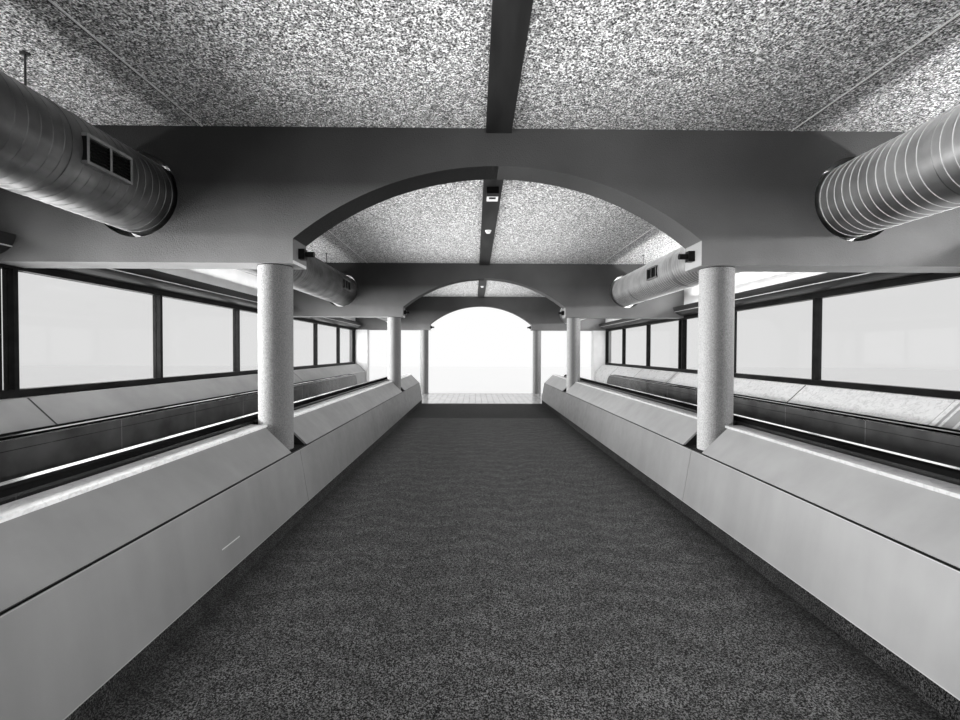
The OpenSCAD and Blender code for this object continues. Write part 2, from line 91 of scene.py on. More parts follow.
camera = bpy.data.objects.new("camera", bpy.data.cameras.new("camera"))
camera.matrix_world = Matrix((
    (side_axis.x, top_axis.x, -ahead.x, eye.x),
    (side_axis.y, top_axis.y, -ahead.y, eye.y),
    (side_axis.z, top_axis.z, -ahead.z, eye.z),
    (0, 0, 0, 1)))
camera.data.sensor_fit = "HORIZONTAL"
camera.data.sensor_width = sensor_w
camera.data.lens = sensor_w * focal_px / photo_w
camera.data.clip_start = 0.05
camera.data.clip_end = 500
bpy.context.collection.objects.link(camera)
bpy.context.scene.camera = camera
print("camera at", [round(v, 3) for v in eye])

# %% [markdown]
# ## Helpers for finishes
# A finish is one Principled shader with a few nodes in front of it. Three helpers cover most of them:
# one starts a material, one adds a node, and one joins two sockets. All patterns read Object
# coordinates, which are metres here, so a scale of 100 means features about a centimetre across.

# %% Start a material, add a node, join two sockets
finishes = {}


def new_finish(name, colour, roughness, metallic=0.0):
    material = bpy.data.materials.new(name)
    material.use_nodes = True
    shader = material.node_tree.nodes["Principled BSDF"]
    shader.inputs["Base Color"].default_value = (colour, colour, colour, 1)
    shader.inputs["Roughness"].default_value = roughness
    shader.inputs["Metallic"].default_value = metallic
    finishes[name] = material
    return material


def add(material, kind, inputs=None, **settings):
    node = material.node_tree.nodes.new("ShaderNode" + kind)
    for key, value in settings.items():
        setattr(node, key, value)
    for key, value in (inputs or {}).items():
        node.inputs[key].default_value = value
    return node


def join(material, source, target):
    material.node_tree.links.new(source, target)


def shader_of(material):
    return material.node_tree.nodes["Principled BSDF"]


def place(material, scale=(1, 1, 1)):
    spot = add(material, "TexCoord")
    mapping = add(material, "Mapping", {"Scale": scale})
    join(material, spot.outputs["Object"], mapping.inputs["Vector"])
    return mapping.outputs["Vector"]


print("helpers ready")

# %% [markdown]
# Real paint, plaster and stone are never one even grey. `cloud` is soft noise, `greys` turns it into
# tones between two greys, and `blend` multiplies one pattern by another. `paint` puts the result on the
# colour, `grain` makes the surface itself uneven with a bump, `gloss` lets the roughness wander, and
# `dull` sets how much of a sheen is left where a surface is seen at a flat angle.

# %% Colour, grain and gloss
def greys(material, value, dark, light, low=0.3, high=0.7):
    ramp = add(material, "ValToRGB")
    ramp.color_ramp.elements[0].position = low
    ramp.color_ramp.elements[1].position = high
    ramp.color_ramp.elements[0].color = (dark, dark, dark, 1)
    ramp.color_ramp.elements[1].color = (light, light, light, 1)
    join(material, value, ramp.inputs["Fac"])
    return ramp.outputs["Color"]


def cloud(material, scale, detail, stretch=(1, 1, 1), distortion=0.0):
    noise = add(material, "TexNoise", {"Scale": scale, "Detail": detail, "Distortion": distortion})
    join(material, place(material, stretch), noise.inputs["Vector"])
    return noise.outputs["Fac"]


def blend(material, first, second):
    mix = add(material, "Mix", data_type="RGBA", blend_type="MULTIPLY")
    mix.inputs["Factor"].default_value = 1.0
    join(material, first, mix.inputs["A"])
    join(material, second, mix.inputs["B"])
    return mix.outputs["Result"]


def paint(material, colour):
    join(material, colour, shader_of(material).inputs["Base Color"])


def grain(material, height, strength, distance):
    bump = add(material, "Bump", {"Strength": strength, "Distance": distance})
    join(material, height, bump.inputs["Height"])
    under = shader_of(material).inputs["Normal"]
    if under.is_linked:
        join(material, under.links[0].from_socket, bump.inputs["Normal"])
    join(material, bump.outputs["Normal"], under)


def gloss(material, value, smooth, rough):
    spread = add(material, "MapRange", {"To Min": smooth, "To Max": rough})
    join(material, value, spread.inputs["Value"])
    join(material, spread.outputs["Result"], shader_of(material).inputs["Roughness"])


def dull(material, sheen):
    shader_of(material).inputs["Specular IOR Level"].default_value = sheen


print("pattern helpers ready")

# %% [markdown]
# Some tones follow the place on the building: a dark line in a fold, a pale jamb, a side that has
# faded. They come from plain arithmetic on the Object coordinates. `across` gives one coordinate,
# `reckon` is one step of arithmetic, `near` is 1 within a small reach of a value and 0 elsewhere, and
# `mixed` goes from one colour to another by such a mask.

# %% Masks by position
def across(material, axis):
    spot = add(material, "TexCoord")
    parts = add(material, "SeparateXYZ")
    join(material, spot.outputs["Object"], parts.inputs["Vector"])
    return parts.outputs[axis]


def reckon(material, operation, *values):
    node = add(material, "Math", operation=operation)
    for k, value in enumerate(values):
        if isinstance(value, float):
            node.inputs[k].default_value = value
        else:
            join(material, value, node.inputs[k])
    return node.outputs["Value"]


def near(material, value, centre, reach):
    return reckon(material, "COMPARE", value, float(centre), float(reach))


def off_middle(material):
    return reckon(material, "ABSOLUTE", across(material, "X"))


def at_height(material, above_floor, reach):
    return near(material, across(material, "Z"), floor_z + above_floor, reach)


def lines_along(material, pitch, width):
    wrapped = reckon(material, "FLOORED_MODULO", across(material, "Y"), pitch)
    return reckon(material, "LESS_THAN", wrapped, width)


def mixed(material, mask, first, second):
    node = add(material, "Mix", data_type="RGBA", blend_type="MIX")
    join(material, mask, node.inputs["Factor"])
    for name, colour in (("A", first), ("B", second)):
        if isinstance(colour, tuple):
            node.inputs[name].default_value = colour
        else:
            join(material, colour, node.inputs[name])
    return node.outputs["Result"]


print("mask helpers ready")

# %% [markdown]
# ## Ceiling
# The ceiling is coarse stucco, thrown on wet, so it stands off in crumbs of about 5 to 15 mm. Two sizes
# of noise make their light and dark. The finer one is also their bump, so shade is painted into the pits
# and highlights onto the tops. Voronoi cells round their edges, and a strong bump lets the light rake
# across them. A pale bead with a dark gap beside it runs along the ceiling's joint on each side.

# %% Stucco
bead_x, bead_half = 2.770, 0.009
gap_x, gap_half = 2.786, 0.006

stucco = new_finish("ceiling_stucco", 0.62, 0.95)
crumbs = add(stucco, "TexVoronoi", {"Scale": 70.0, "Randomness": 1.0})
join(stucco, place(stucco), crumbs.inputs["Vector"])
dots = cloud(stucco, 78, 4)
# Painted shade and highlights: the crumbs are darker in the pits and paler on the tops of the same bump.
crumbs_with_pit_shade = blend(stucco, greys(stucco, dots, 0.05, 1.0, 0.40, 0.60),
                greys(stucco, cloud(stucco, 36, 2), 0.46, 1.28, 0.40, 0.60))
bead = near(stucco, off_middle(stucco), bead_x, bead_half)
gap = near(stucco, off_middle(stucco), gap_x, gap_half)
paint(stucco, blend(stucco, mixed(stucco, bead, crumbs_with_pit_shade, (0.8, 0.8, 0.8, 1)),
                    greys(stucco, gap, 1.0, 0.06)))
grain(stucco, dots, 1.0, 0.03)
grain(stucco, crumbs.outputs["Distance"], 0.6, 0.01)
print("stucco made")

# %% Strip, lamps and detectors on the ceiling
dark_trim = new_finish("dark_trim", 0.028, 0.55)
dull(dark_trim, 0.3)
paint(dark_trim, greys(dark_trim, cloud(dark_trim, 8, 5, (1, 0.15, 1)), 0.010, 0.025))
grain(dark_trim, cloud(dark_trim, 220, 2), 0.15, 0.002)

black_plastic = new_finish("black_plastic", 0.01, 0.4)
dull(black_plastic, 0.15)
paint(black_plastic, greys(black_plastic, cloud(black_plastic, 30, 3), 0.004, 0.010))
grain(black_plastic, cloud(black_plastic, 900, 2), 0.1, 0.0005)

white_plastic = new_finish("white_plastic", 0.7, 0.45)
paint(white_plastic, greys(white_plastic, cloud(white_plastic, 30, 3), 0.62, 0.74))
grain(white_plastic, cloud(white_plastic, 900, 2), 0.1, 0.0005)
print("strip and fitting finishes made")

# %% [markdown]
# ## Beams
# The beams are painted render with a fine orange peel. Shade is painted on them where the light from
# below falls off: they are darker towards the ceiling, more so on the left, so the tone falls off with
# height. The far left has more painted shade.

# %% Faces of the beams
beam = new_finish("beam_render", 0.2, 0.6)
beam_x, beam_z = across(beam, "X"), across(beam, "Z")
climb = add(beam, "MapRange", {"From Min": soffit_z, "From Max": ceiling_z})
join(beam, beam_z, climb.inputs["Value"])
# Painted shade: the faces darken with height, more so on the left, and the far left is painted darker
# still.
left_height_shade = greys(beam, climb.outputs["Result"], 1.35, 0.15, 0.0, 0.6)
right_height_shade = greys(beam, climb.outputs["Result"], 0.9, 0.35, 0.0, 0.6)
rightward = reckon(beam, "MULTIPLY_ADD", beam_x, 0.4, 0.5)
leftmost = reckon(beam, "MULTIPLY_ADD", beam_x, 0.25, 1.0)
face_mottle_and_shade = blend(beam, blend(beam, greys(beam, cloud(beam, 1.2, 3), 0.17, 0.24),
                              mixed(beam, rightward, left_height_shade, right_height_shade)),
                  greys(beam, leftmost, 0.45, 1.0, 0.0, 0.4))
print("beam faces toned")

# %% [markdown]
# These masks find what lies inside a beam's thickness. Y is wrapped into one bay, moved by half a bay so
# that the beam is in its middle. Shade is painted on the arch's underside, dark left of the crown and grey
# right of it. Painted shade darkens the duct holes, and painted light makes the flat undersides and the
# jambs pale.

# %% Inner sides of the beams
skin = 0.002
jamb_reach = 0.004
from_beam = reckon(beam, "FLOORED_MODULO", reckon(beam, "ADD", across(beam, "Y"), bay * 4.5), bay)
inside = near(beam, from_beam, bay / 2, beam_t / 2 - skin)
under_arch = reckon(beam, "LESS_THAN", off_middle(beam), arch_half - 0.003)
under_beam = reckon(beam, "LESS_THAN", beam_z, soffit_z + 0.03)
jamb_right = near(beam, beam_x, arch_half, jamb_reach)
jamb_left = reckon(beam, "MULTIPLY", near(beam, beam_x, -arch_half, jamb_reach), 0.4)
# Painted light makes the jambs and flat undersides pale; painted shade darkens the arch's left half and the
# duct holes.
painted_light_parts = reckon(beam, "MAXIMUM", under_beam, reckon(beam, "MAXIMUM", jamb_right, jamb_left))
arch_painted_shade = greys(beam, reckon(beam, "GREATER_THAN", beam_x, 0.0), 0.16, 1.0)
inner_light_and_shade = mixed(beam, under_arch, greys(beam, painted_light_parts, 0.12, 2.3), arch_painted_shade)
paint(beam, blend(beam, face_mottle_and_shade, mixed(beam, inside, (1, 1, 1, 1), inner_light_and_shade)))
dull(beam, 0.25)
grain(beam, cloud(beam, 90, 4), 0.9, 0.006)
print("beam render made")

# %% [markdown]
# ## Columns, walls and slabs
# The columns have a coarser stipple from a roller. Light and shade are painted round them: their left
# sides are painted paler, the middles darker, and the right-hand columns are painted lighter again towards
# their own windows. The walls are pale indoors and streaked by rain outside, with two joints in each bay.
# The slabs are cast concrete with the same joints.

# %% Columns
column_r = 0.16
columns_low, columns_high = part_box("columns")
column_x = columns_high.x - column_r

plaster = new_finish("column_plaster", 0.5, 0.7)
plaster_x = across(plaster, "X")
on_right = reckon(plaster, "GREATER_THAN", plaster_x, 0.0)
from_axis = mixed(plaster, on_right, reckon(plaster, "ADD", plaster_x, column_x),
                  reckon(plaster, "SUBTRACT", plaster_x, column_x))
round_it = reckon(plaster, "MULTIPLY_ADD", from_axis, 2.8, 0.5)
# Painted light and shade round each column: paler on the left, darker in the middle, lighter on the
# right-hand columns' outer side.
left_column_light_and_shade = blend(plaster, greys(plaster, round_it, 1.9, 0.58, 0.34, 0.62),
                    greys(plaster, round_it, 1.0, 1.2, 0.80, 0.95))
right_column_light_and_shade = blend(plaster, greys(plaster, round_it, 1.7, 0.55, 0.08, 0.34),
                     greys(plaster, round_it, 1.0, 2.3, 0.44, 0.64))
stipple = greys(plaster, cloud(plaster, 130, 3), 0.19, 0.33, 0.4, 0.6)
paint(plaster, blend(plaster, stipple, mixed(plaster, on_right, left_column_light_and_shade, right_column_light_and_shade)))
grain(plaster, cloud(plaster, 120, 3), 0.9, 0.006)
print("column plaster made")

# %% Walls and concrete
joint_w = 0.014

wall = new_finish("wall_render", 0.5, 0.8)
streaks = greys(wall, cloud(wall, 5, 6, (1, 1, 0.08)), 0.88, 1.0)
weathered = blend(wall, blend(wall, greys(wall, cloud(wall, 0.8, 3), 0.48, 0.56), streaks),
                  greys(wall, lines_along(wall, bay / 2, joint_w), 1.0, 0.35))
indoors = reckon(wall, "LESS_THAN", off_middle(wall), wall_x + 0.05)
paint(wall, mixed(wall, indoors, weathered, greys(wall, cloud(wall, 3, 3), 0.76, 0.84)))
grain(wall, cloud(wall, 140, 3), 0.5, 0.004)

concrete = new_finish("concrete", 0.42, 0.85)
cast = blend(concrete, greys(concrete, cloud(concrete, 0.6, 7), 0.33, 0.43),
             greys(concrete, cloud(concrete, 60, 3), 0.8, 1.0))
paint(concrete, blend(concrete, cast, greys(concrete, lines_along(concrete, bay / 2, joint_w), 1.0, 0.45)))
grain(concrete, cloud(concrete, 90, 5), 0.5, 0.004)
print("walls and concrete made")

# %% [markdown]
# ## Parapets
# Satin grey panels line the walk. Hands, trolleys and the cleaner's cloth leave faint upright streaks,
# so the noise is stretched along Z. Shade is painted as a dark line in the fold, with a pale painted
# highlight on the rim just below it and another at the foot, and there is one pale scuff on the left.
# Shade is also painted on the left side, a little darker than the right, and on the upright panels,
# which darken towards the far end.

# %% Parapet panels
foot_up, scuff_up, rim_up, fold_up, fold_shade_up = 0.128, 0.29, 0.632, 0.636, 0.642
scuff_x, scuff_y, scuff_half = -1.9, -1.41, 0.115

panel = new_finish("parapet_panel", 0.3, 0.42)
satin = blend(panel, greys(panel, cloud(panel, 1.3, 5), 0.25, 0.31),
              greys(panel, cloud(panel, 5, 5, (1, 1, 0.12)), 0.90, 1.04))
# Painted highlights: a pale line on the rim below the fold and another at the foot.
rim_highlights = reckon(panel, "MAXIMUM", at_height(panel, rim_up, 0.0025), at_height(panel, foot_up, 0.003))
scuff = reckon(panel, "MULTIPLY", at_height(panel, scuff_up, 0.004),
               near(panel, across(panel, "Y"), scuff_y, scuff_half))
scuff = reckon(panel, "MULTIPLY", scuff, near(panel, across(panel, "X"), scuff_x, 0.3))
scuff_and_highlights = reckon(panel, "MAXIMUM", reckon(panel, "MULTIPLY", rim_highlights, 0.3), scuff)
scuffed_and_highlit = mixed(panel, scuff_and_highlights, satin, (0.7, 0.7, 0.7, 1))
# Painted shade: a dark line in the fold, and the left side a little darker than the right.
fold_and_side_shade = blend(panel, greys(panel, at_height(panel, fold_shade_up, 0.0065), 1.0, 0.05),
                greys(panel, across(panel, "X"), 0.84, 1.08, 0.0, 1.0))
# Painted shade darkens the upright panels towards the far end.
far_away = reckon(panel, "MULTIPLY_ADD", across(panel, "Y"), 1 / 7, 2 / 7)
upright = reckon(panel, "LESS_THAN", across(panel, "Z"), floor_z + fold_up)
far_painted_shade = mixed(panel, upright, (1, 1, 1, 1), greys(panel, far_away, 1.0, 0.34, 0.0, 1.0))
paint(panel, blend(panel, blend(panel, scuffed_and_highlit, fold_and_side_shade), far_painted_shade))
gloss(panel, cloud(panel, 9, 4), 0.34, 0.56)
grain(panel, cloud(panel, 260, 2), 0.2, 0.002)
print("parapet panels made")

# %% [markdown]
# The cap is a pale veined stone: veins are the thin places where a cloud passes through its middle
# value. Between the cap and the panels, the parapet's core is almost black.

# %% Parapet core and cap
def veins(material, scale, width):
    spread = add(material, "MapRange", {"From Min": 0.5 - width, "From Max": 0.5 + width,
                                        "To Min": -1.0, "To Max": 1.0})
    join(material, cloud(material, scale, 7, distortion=1.5), spread.inputs["Value"])
    return reckon(material, "ABSOLUTE", spread.outputs["Result"])


core = new_finish("parapet_grey", 0.02, 0.8)
dull(core, 0.2)
paint(core, greys(core, cloud(core, 6, 5), 0.006, 0.016))
grain(core, cloud(core, 200, 2), 0.2, 0.002)

cap = new_finish("cap_stone", 0.75, 0.22)
stone = blend(cap, greys(cap, veins(cap, 6, 0.06), 0.76, 0.92, 0.0, 0.8),
              greys(cap, cloud(cap, 22, 4), 0.93, 1.0))
# Painted shade: the caps on the right are darker than the paler caps on the left, where the daylight falls.
paint(cap, blend(cap, stone, greys(cap, across(cap, "X"), 1.0, 0.6, 0.0, 1.0)))
gloss(cap, cloud(cap, 12, 3), 0.15, 0.32)
print("parapet core and cap made")

# %% [markdown]
# ## Carpet and floor tiles
# A dense loop pile, charcoal with a pale fleck. Over it the mill printed rows of soft waves, 0.28 m
# apart, that sway once in 0.9 m and wander with a cloud. Towards the two ends, outside the second and the
# fourth beam, the carpet is plain and darker. Shade is painted along both parapets, and the carpet is a
# little darker towards the far end.

# %% Carpet
row_pitch, sway_width = 0.28, 0.9
edge_from, edge_to = 1.45, 1.84

carpet = new_finish("carpet", 0.03, 0.95)
carpet_x, carpet_y = across(carpet, "X"), across(carpet, "Y")
loops = cloud(carpet, 150, 3)
fleck = greys(carpet, loops, 0.002, 0.34, 0.44, 0.68)
sway = reckon(carpet, "SINE", reckon(carpet, "MULTIPLY", carpet_x, 2 * math.pi / sway_width))
phase = reckon(carpet, "MULTIPLY_ADD", sway, 1.6,
               reckon(carpet, "MULTIPLY", carpet_y, 2 * math.pi / row_pitch))
wander = reckon(carpet, "MULTIPLY_ADD", cloud(carpet, 3.5, 4), 14.0, phase)
wavy = reckon(carpet, "MULTIPLY_ADD", reckon(carpet, "SINE", wander), 0.5, 0.5)
patterned = blend(carpet, fleck, blend(carpet, greys(carpet, wavy, 0.84, 1.08, 0.1, 0.9),
                                       greys(carpet, near(carpet, wavy, 0.35, 0.08), 1.0, 0.8)))
ends = reckon(carpet, "MAXIMUM", reckon(carpet, "GREATER_THAN", carpet_y, beam_y[3]),
              reckon(carpet, "LESS_THAN", carpet_y, beam_y[1]))
woven = mixed(carpet, ends, patterned, greys(carpet, loops, 0.006, 0.09, 0.42, 0.68))
# Painted shade along both parapets, darkening the carpet towards its edges.
shade = add(carpet, "MapRange", {"From Min": edge_from, "From Max": edge_to,
                                 "To Min": 1.0, "To Max": 0.3})
join(carpet, reckon(carpet, "ABSOLUTE", carpet_x), shade.inputs["Value"])
far_end_darkening = greys(carpet, reckon(carpet, "MULTIPLY_ADD", carpet_y, 1 / 6, 0.5), 1.0, 0.75, 0.0, 1.0)
paint(carpet, blend(carpet, blend(carpet, woven, shade.outputs["Result"]), far_end_darkening))
grain(carpet, loops, 0.9, 0.006)
print("carpet made")

# %% Tiles at the two ends
tile_w, grout_w = 0.2, 0.007

floor_tile = new_finish("floor_tile", 0.6, 0.18)
tiles = add(floor_tile, "TexBrick", {
    "Scale": 1.0, "Mortar Size": grout_w, "Mortar Smooth": 0.1, "Bias": 0.0,
    "Brick Width": tile_w, "Row Height": tile_w,
    "Color1": (0.62, 0.62, 0.62, 1), "Color2": (0.54, 0.54, 0.54, 1),
    "Mortar": (0.05, 0.05, 0.05, 1)}, offset=0.0)
join(floor_tile, place(floor_tile), tiles.inputs["Vector"])
paint(floor_tile, blend(floor_tile, tiles.outputs["Color"],
                        greys(floor_tile, cloud(floor_tile, 14, 5), 0.9, 1.0)))
gloss(floor_tile, tiles.outputs["Fac"], 0.14, 0.7)
grain(floor_tile, tiles.outputs["Fac"], -0.4, 0.003)
print("tiles made")

# %% [markdown]
# ## Moving walkways
# The balustrades are boxed in dark glossy panels about 1.2 m long. The joints are hairlines, so they are
# drawn in the material: a thin line wherever Y passes a multiple of the panel's length. A seam near the
# top is darker still, and so are the inner balustrades, next to the walk. Painted shade turns the trim on
# the outer ones black, all but one bright edge. The pallets are cast with fine lengthwise grooves.

# %% Balustrades, handrails and trim
panel_l, joint_line = 1.2, 0.004
seam_up, edge_up = 0.853, 0.934

boxing = new_finish("balustrade_gloss", 0.03, 0.12)
jointed = blend(boxing, greys(boxing, cloud(boxing, 3, 5), 0.05, 0.10),
                greys(boxing, lines_along(boxing, panel_l, joint_line), 1.0, 4.0, 0.4, 0.6))
inner = reckon(boxing, "LESS_THAN", off_middle(boxing), lane_middle)
darker = reckon(boxing, "MAXIMUM", at_height(boxing, seam_up, 0.002), inner)
paint(boxing, blend(boxing, jointed, greys(boxing, darker, 1.0, 0.2)))
gloss(boxing, cloud(boxing, 6, 5), 0.1, 0.3)

rubber = new_finish("handrail_rubber", 0.012, 0.5)
dull(rubber, 0.0)
paint(rubber, greys(rubber, cloud(rubber, 7, 4, (1, 0.3, 1)), 0.003, 0.009))
gloss(rubber, cloud(rubber, 25, 3), 0.4, 0.6)

trim = new_finish("trim_metal", 0.75, 0.28, 1.0)
outer = reckon(trim, "GREATER_THAN", off_middle(trim), lane_middle)
# Painted shade: the outer trims are darkened to black, except one bright edge.
outer_trim_shade = reckon(trim, "MULTIPLY", outer, reckon(trim, "SUBTRACT", 1.0, at_height(trim, edge_up, 0.005)))
paint(trim, blend(trim, greys(trim, cloud(trim, 40, 4, (1, 0.04, 1)), 0.62, 0.82),
                  greys(trim, outer_trim_shade, 1.0, 0.02)))
gloss(trim, cloud(trim, 160, 2, (1, 0.03, 1)), 0.2, 0.36)
print("balustrade finishes made")

# %% Pallets and trough
pallet_l, pallet_gap = 0.4, 0.006

pallet_metal = new_finish("pallet_metal", 0.35, 0.4, 0.9)
gaps = greys(pallet_metal, lines_along(pallet_metal, pallet_l, pallet_gap), 1.0, 0.15, 0.4, 0.6)
paint(pallet_metal, blend(pallet_metal, greys(pallet_metal, cloud(pallet_metal, 5, 4), 0.28, 0.42), gaps))
grooves = add(pallet_metal, "TexWave", {"Scale": 35.0}, wave_type="BANDS", bands_direction="X",
              wave_profile="SIN")
join(pallet_metal, place(pallet_metal), grooves.inputs["Vector"])
grain(pallet_metal, grooves.outputs["Fac"], 1.0, 0.005)

dark_steel = new_finish("dark_steel", 0.08, 0.45, 0.6)
paint(dark_steel, greys(dark_steel, cloud(dark_steel, 12, 5), 0.05, 0.11))
grain(dark_steel, cloud(dark_steel, 180, 2), 0.2, 0.002)
print("pallet and trough finishes made")

# %% [markdown]
# ## Windows, casing, coves and ducts
# The frames are black with a light satin. The casing below the windows catches the daylight, so the two
# sides get different finishes. Shade is painted on the left one, which is grey with a pale painted
# highlight along its nose; the right one, where the daylight falls, is paler with a veined look like the
# caps.

# %% Frames and glass
frame_metal = new_finish("frame_metal", 0.02, 0.45)
dull(frame_metal, 0.06)
paint(frame_metal, greys(frame_metal, cloud(frame_metal, 9, 4, (1, 0.3, 1)), 0.006, 0.016))
grain(frame_metal, cloud(frame_metal, 400, 2), 0.1, 0.001)

glass = new_finish("glass", 0.02, 0.02)
shader_of(glass).inputs["Alpha"].default_value = 0.16
paint(glass, greys(glass, cloud(glass, 2, 4), 0.01, 0.03))
gloss(glass, cloud(glass, 3, 4), 0.0, 0.05)
print("window finishes made")

# %% Casing and coves
nose_up = 0.859

casing_metal = new_finish("casing_metal", 0.3, 0.4)
# Painted highlight: a pale line along the casing's nose.
nose_highlight = greys(casing_metal, at_height(casing_metal, nose_up, 0.004), 1.0, 2.4)
paint(casing_metal, blend(casing_metal, greys(casing_metal, cloud(casing_metal, 1.8, 5), 0.26, 0.34), nose_highlight))
gloss(casing_metal, cloud(casing_metal, 9, 4), 0.34, 0.55)
grain(casing_metal, cloud(casing_metal, 260, 2), 0.12, 0.002)

# The pale veined finish is the lit side of the casing; the grey finish on the left is painted shade.
casing_stone = new_finish("casing_stone", 0.7, 0.3)
veined = greys(casing_stone, veins(casing_stone, 9, 0.06), 0.54, 0.70, 0.0, 0.8)
paint(casing_stone, blend(casing_stone, veined, greys(casing_stone, cloud(casing_stone, 18, 4), 0.88, 1.0)))
gloss(casing_stone, cloud(casing_stone, 10, 3), 0.2, 0.4)

cove_dark = new_finish("cove_dark", 0.05, 0.4)
dull(cove_dark, 0.2)
paint(cove_dark, greys(cove_dark, cloud(cove_dark, 4, 5, (1, 0.1, 1)), 0.015, 0.045))
gloss(cove_dark, cloud(cove_dark, 20, 3, (1, 0.1, 1)), 0.3, 0.5)
print("casing and cove finishes made")

# %% [markdown]
# The ducts are bare metal, with smudges that show in their gloss. The right one is bright, with shade
# painted underneath. The left one is a darker, shaded copy with a painted highlight underneath. The
# registers are grey, with painted shade in the recessed field.

# %% Ducts, their seams and registers
duct_r = 0.35
duct_low, duct_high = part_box("duct_right")
duct_x, duct_z = (duct_low.x + duct_high.x) / 2, (duct_low.z + duct_high.z) / 2

duct_metal = new_finish("duct_metal", 0.4, 0.3, 0.8)
duct_shaded = new_finish("duct_shaded", 0.2, 0.3, 0.75)
# Painted light and shade: the left duct is a darker copy, the right one painted darker underneath and the
# left one painted lighter underneath.
for metal, dark, light, start, underside_light_and_shade in ((duct_metal, 0.58, 0.94, 0.08, 0.36),
                                             (duct_shaded, 0.09, 0.24, 0.2, 3.4)):
    lowness = reckon(metal, "MULTIPLY", reckon(metal, "SUBTRACT", duct_z - start, across(metal, "Z")), 4.0)
    paint(metal, blend(metal, greys(metal, cloud(metal, 3.5, 6), dark, light),
                       greys(metal, lowness, 1.0, underside_light_and_shade, 0.1, 0.6)))
    gloss(metal, cloud(metal, 14, 5), 0.26, 0.44)
    grain(metal, cloud(metal, 30, 3), 0.15, 0.004)

seam_metal = new_finish("seam_metal", 0.8, 0.5, 0.2)
paint(seam_metal, greys(seam_metal, cloud(seam_metal, 9, 4), 0.7, 0.9))
gloss(seam_metal, cloud(seam_metal, 30, 3), 0.45, 0.6)

field_half, field_depth = 0.087, 0.027
register = new_finish("register_metal", 0.4, 0.42, 0.3)
behind = reckon(register, "GREATER_THAN", off_middle(register), duct_x - duct_r - field_depth)
# Painted shade in the register's recessed field and on its side faces.
field_shade = reckon(register, "MULTIPLY", behind, near(register, across(register, "Z"), duct_z, field_half))
paint(register, blend(register, greys(register, cloud(register, 16, 4), 0.20, 0.30),
                      greys(register, field_shade, 1.0, 0.03)))
grain(register, cloud(register, 300, 2), 0.1, 0.001)
print("duct finishes made")

# %% [markdown]
# ## Give each node its finish
# The record says which slot each node belongs to. The imported model already has plain materials with
# those names, so the new ones are looked up in a dictionary of their own. Three nodes differ from their
# slot: the right casing, the hangers and the left duct.

# %% Assign the finishes
slot_of = {part["node"]: part["material_slot"] for part in frame["record"]["subparts"]}
own_finish = {"sill_casing_right": casing_stone, "duct_hangers": dark_steel, "duct_left": duct_shaded}
for name, piece in frame["nodes"].items():
    finish = own_finish.get(name) or finishes[slot_of[name]]
    piece.data.materials.clear()
    piece.data.materials.append(finish)
print("finished nodes:", len(frame["nodes"]))

# %% [markdown]
# ## Ribs on the ducts
# The ducts are wound from strip, and the seam stands up as a fine rib every 88 mm. A rib is a small
# closed triangle spun once round the duct's axis. It is made once and duplicated along the duct, which
# keeps each rib to 120 faces.

# %% Helpers that extrude, move and finish a piece
def slide(shape, made, vector):
    moved = [v for v in made["geom"] if isinstance(v, bmesh.types.BMVert)]
    bmesh.ops.translate(shape, vec=vector, verts=moved)


def bar_along_y(shape, section, y0, y1):
    ring = [shape.verts.new((x, y0, z)) for x, z in section]
    face = shape.faces.new(ring)
    slide(shape, bmesh.ops.extrude_face_region(shape, geom=[face]), (0, y1 - y0, 0))


def block(shape, size, centre):
    made = bmesh.ops.create_cube(shape, size=1.0)
    bmesh.ops.scale(shape, verts=made["verts"], vec=size)
    bmesh.ops.translate(shape, verts=made["verts"], vec=centre)


def finished_piece(name, shape, material):
    bmesh.ops.remove_doubles(shape, verts=shape.verts, dist=1e-5)
    bmesh.ops.recalc_face_normals(shape, faces=shape.faces)
    mesh = bpy.data.meshes.new(name)
    shape.to_mesh(mesh)
    shape.free()
    mesh.materials.append(material)
    piece = bpy.data.objects.new(name, mesh)
    bpy.context.collection.objects.link(piece)
    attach(piece, "root")
    print(name, "faces:", len(mesh.polygons))


print("mesh helpers ready")

# %% Spin one rib and repeat it along each duct
rib_pitch = 0.088
rib_rise = 0.0045
rib_sunk = 0.002
rib_wide = 0.012
plain_ends = 0.1
for side, rib_finish in (("left", duct_shaded), ("right", seam_metal)):
    low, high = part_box(f"duct_{side}")
    axis = Vector(((low.x + high.x) / 2, 0, (low.z + high.z) / 2))
    count = int((high.y - low.y - plain_ends) / rib_pitch)
    start_y = -rib_pitch * (count - 1) / 2
    ribs = bmesh.new()
    profile = [ribs.verts.new(axis + Vector((out, start_y + past, 0)))
               for out, past in ((duct_r - rib_sunk, -rib_wide / 2), (duct_r + rib_rise, 0.0),
                                 (duct_r - rib_sunk, rib_wide / 2))]
    edges = [ribs.edges.new((profile[i], profile[(i + 1) % 3])) for i in range(3)]
    bmesh.ops.spin(ribs, geom=profile + edges, cent=axis, axis=(0, 1, 0), angle=2 * math.pi,
                   steps=40, use_merge=True)
    one_rib = list(ribs.verts) + list(ribs.edges) + list(ribs.faces)
    for k in range(1, count):
        slide(ribs, bmesh.ops.duplicate(ribs, geom=one_rib), (0, k * rib_pitch, 0))
    finished_piece(f"duct_ribs_{side}", ribs, rib_finish)

# %% [markdown]
# ## In the coves
# Each cove hides a row of battens: a white tray on the wall with one tube clipped to it. Below, a bright
# bead runs along the cove's curved skin, about a third of the way round. Both are simple sections that
# are drawn at one end and extruded along Y. The battens' sections are measured out from the wall and
# down from the cove's lip.

# %% Sections in the coves, and the tubes' glow
def round_section(x, z, radius, corners):
    return [(x + radius * math.cos(2 * math.pi * k / corners),
             z + radius * math.sin(2 * math.pi * k / corners)) for k in range(corners)]


